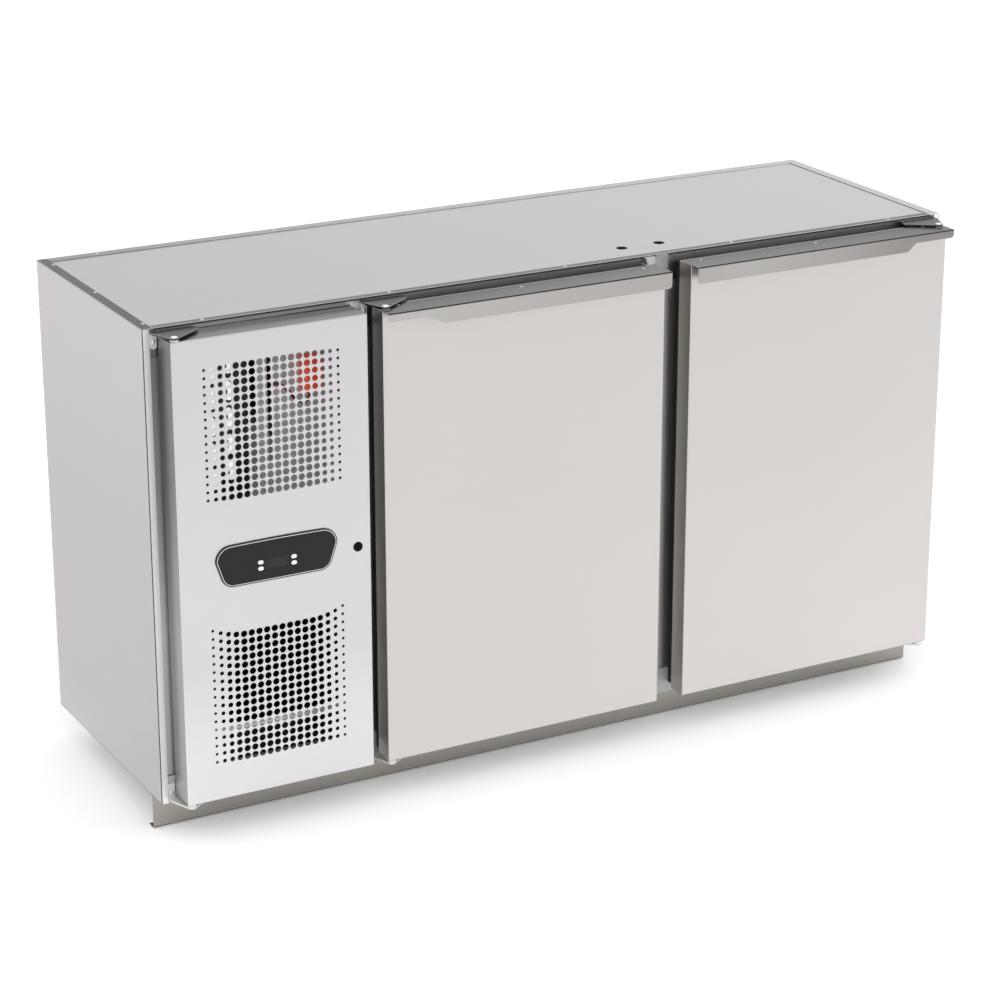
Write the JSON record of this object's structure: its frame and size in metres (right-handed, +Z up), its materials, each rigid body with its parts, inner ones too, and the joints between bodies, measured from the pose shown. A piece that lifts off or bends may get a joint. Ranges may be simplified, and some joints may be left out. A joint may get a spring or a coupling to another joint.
{
  "type": "under-counter bottle fridge",
  "caption": "Low stainless-steel bar fridge with two hinged solid doors, a hinged perforated machine panel with controls, wire shelves and a cooling unit inside.",
  "frame": {"origin": "on the floor, midway between the sides and midway between the handle lips and the back", "axes": "+X to the right along the front, +Y from the front to the back, +Z up"},
  "size_m": [1.48, 0.535, 0.8514],
  "materials": {
    "stainless_light": "fine brushed stainless",
    "steel_top": "satin",
    "galvanised_steel": "dull zinc",
    "foam": "matte foam",
    "liner_plastic": "satin",
    "black_plastic": "matte",
    "plinth_steel": "satin stainless",
    "foot_steel": "dull",
    "zinc_steel": "satin zinc",
    "coated_wire": "satin plastic coat",
    "fin_aluminium": "satin",
    "compressor_black": "satin",
    "red_plastic": "gloss",
    "copper": "satin copper",
    "bush_steel": "satin zinc",
    "fascia_grey": "matte",
    "display_glass": "gloss",
    "button_white": "satin",
    "lock_black": "gloss",
    "gasket_black": "matte",
    "handle_steel": "satin stainless"
  },
  "bodies": {
    "cabinet": {"side_panel_left": "stainless_light", "side_panel_right": "stainless_light", "back_panel": "galvanised_steel", "top_panel": "steel_top", "base_panel": "galvanised_steel", "front_top_rail": "galvanised_steel", "front_bottom_rail": "galvanised_steel", "front_posts": "galvanised_steel", "centre_mullion": "galvanised_steel", "insulation_top": "foam", "insulation_base": "foam", "insulation_back": "foam", "insulation_divider": "foam", "insulation_right": "foam", "inner_liner": "liner_plastic", "line_sleeves": "black_plastic", "plinth": "plinth_steel", "levelling_feet": "foot_steel", "hinge_brackets": "zinc_steel", "rivets_and_screws": "zinc_steel", "shelf_supports": "zinc_steel", "shelf_left_low": "coated_wire", "shelf_left_high": "coated_wire", "shelf_right_low": "coated_wire", "shelf_right_high": "coated_wire", "evaporator_coil": "fin_aluminium", "evaporator_housing": "fin_aluminium", "machine_tray": "galvanised_steel", "unit_shelf": "galvanised_steel", "compressor": "compressor_black", "condenser_coil": "fin_aluminium", "condenser_fan_mount": "black_plastic", "component_plate": "galvanised_steel", "junction_box": "red_plastic", "junction_box_lead": "red_plastic", "refrigerant_pipes": "copper", "mains_gland": "black_plastic"},
    "machine_panel_door": {"machine_panel": "stainless_light", "machine_panel_bushes": "bush_steel", "control_fascia": "fascia_grey", "control_display": "display_glass", "controller_body": "black_plastic", "lock_barrel": "lock_black"},
    "lock_cam": {"lock_cam": "lock_black"},
    "door_left": {"door_left_skin": "stainless_light", "door_left_core": "liner_plastic", "door_left_gasket": "gasket_black", "door_left_handle": "handle_steel", "door_left_fittings": "zinc_steel"},
    "door_right": {"door_right_skin": "stainless_light", "door_right_core": "liner_plastic", "door_right_gasket": "gasket_black", "door_right_handle": "handle_steel", "door_right_fittings": "zinc_steel"},
    "condenser_fan": {"condenser_fan": "black_plastic"},
    "evaporator_fan": {"evaporator_fan": "black_plastic"},
    "button_upper_left": {"button_upper_left": "button_white"},
    "button_lower_left": {"button_lower_left": "button_white"},
    "button_upper_right": {"button_upper_right": "button_white"},
    "button_lower_right": {"button_lower_right": "button_white"}
  },
  "joints": [
    {"name": "machine_panel_hinge", "type": "hinge", "parent": "cabinet", "child": "machine_panel_door", "pos_m": [-0.706, -0.234, 0.457], "axis": [0, 0, -1], "range_deg": [0, 110]},
    {"name": "door_left_hinge", "type": "hinge", "parent": "cabinet", "child": "door_left", "pos_m": [-0.352, -0.234, 0.457], "axis": [0, 0, -1], "range_deg": [0, 100]},
    {"name": "door_right_hinge", "type": "hinge", "parent": "cabinet", "child": "door_right", "pos_m": [0.706, -0.234, 0.457], "axis": [0, 0, 1], "range_deg": [0, 100]},
    {"name": "lock_turn", "type": "hinge", "parent": "machine_panel_door", "child": "lock_cam", "pos_m": [-0.411, -0.2435, 0.4593], "axis": [0, -1, 0], "range_deg": [0, 90]},
    {"name": "condenser_fan_spin", "type": "hinge", "parent": "cabinet", "child": "condenser_fan", "pos_m": [-0.535, 0.0055, 0.668], "axis": [1, 0, 0], "continuous": true},
    {"name": "evaporator_fan_spin", "type": "hinge", "parent": "cabinet", "child": "evaporator_fan", "pos_m": [-0.25, 0.0255, 0.64], "axis": [1, 0, 0], "continuous": true},
    {"name": "button_upper_left_press", "type": "slide", "parent": "machine_panel_door", "child": "button_upper_left", "axis": [0, 1, 0], "range_m": [0, 0.0008], "stiffness_N_per_m": 400, "springref_m": -0.0006},
    {"name": "button_lower_left_press", "type": "slide", "parent": "machine_panel_door", "child": "button_lower_left", "axis": [0, 1, 0], "range_m": [0, 0.0008], "stiffness_N_per_m": 400, "springref_m": -0.0006},
    {"name": "button_upper_right_press", "type": "slide", "parent": "machine_panel_door", "child": "button_upper_right", "axis": [0, 1, 0], "range_m": [0, 0.0008], "stiffness_N_per_m": 400, "springref_m": -0.0006},
    {"name": "button_lower_right_press", "type": "slide", "parent": "machine_panel_door", "child": "button_lower_right", "axis": [0, 1, 0], "range_m": [0, 0.0008], "stiffness_N_per_m": 400, "springref_m": -0.0006}
  ]
}
